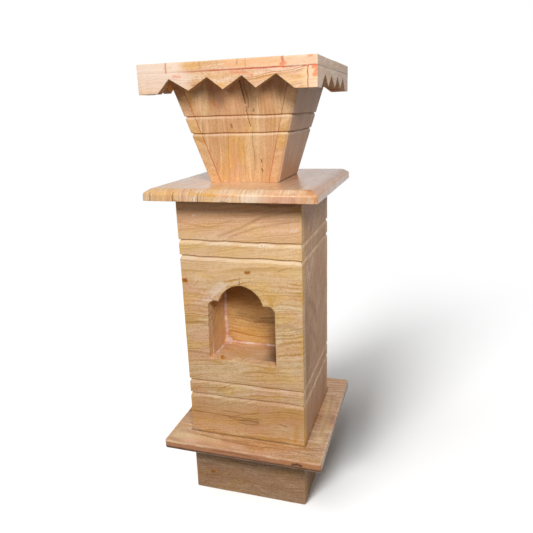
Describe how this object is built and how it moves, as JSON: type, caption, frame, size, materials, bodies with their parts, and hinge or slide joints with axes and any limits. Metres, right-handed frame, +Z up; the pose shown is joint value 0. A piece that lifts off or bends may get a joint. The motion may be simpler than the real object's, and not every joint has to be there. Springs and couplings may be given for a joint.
{
  "type": "tulsi vrindavan planter",
  "caption": "Free-standing stone shrine planter: hollow plinth, square grooved column with an arched lamp niche, flared square pot and zigzag canopy rim.",
  "frame": {"origin": "middle of the plinth's underside, on the ground", "axes": "+Z up; the niche and the front of the planter face -Y; +X is to the right of someone who looks at the front"},
  "size_m": [0.34, 0.356, 0.9],
  "materials": {
    "stone_canopy": "honed, pale peach teak-veined sandstone, fine wavy grain",
    "stone_pot": "honed, tan teak-veined sandstone, upright grain with dark cracks",
    "stone_cap": "polished, pinkish tan teak-veined sandstone",
    "stone_column": "honed, golden tan teak-veined sandstone, wavy level grain",
    "stone_niche": "sawn and honed, darker golden sandstone",
    "stone_base": "polished, reddish tan teak-veined sandstone",
    "stone_plinth": "sawn, brown teak-veined sandstone",
    "joint_filler": "matt pinkish white cement filler"
  },
  "bodies": {
    "root": {"base_plate": "stone_base", "cap_plate": "stone_cap", "column_back": "stone_column", "column_front": "stone_column", "column_left": "stone_column", "column_right": "stone_column", "fascia_back": "stone_canopy", "fascia_front": "stone_canopy", "fascia_left": "stone_canopy", "fascia_right": "stone_canopy", "niche_back": "stone_niche", "niche_ceiling": "stone_niche", "niche_floor": "stone_niche", "niche_joint_filler": "joint_filler", "niche_left": "stone_niche", "niche_right": "stone_niche", "plinth_back": "stone_plinth", "plinth_front": "stone_plinth", "plinth_left": "stone_plinth", "plinth_right": "stone_plinth", "pot_back": "stone_pot", "pot_front": "stone_pot", "pot_left": "stone_pot", "pot_right": "stone_pot", "rim_back": "stone_canopy", "rim_front": "stone_canopy", "rim_left": "stone_canopy", "rim_right": "stone_canopy"}
  },
  "joints": []
}
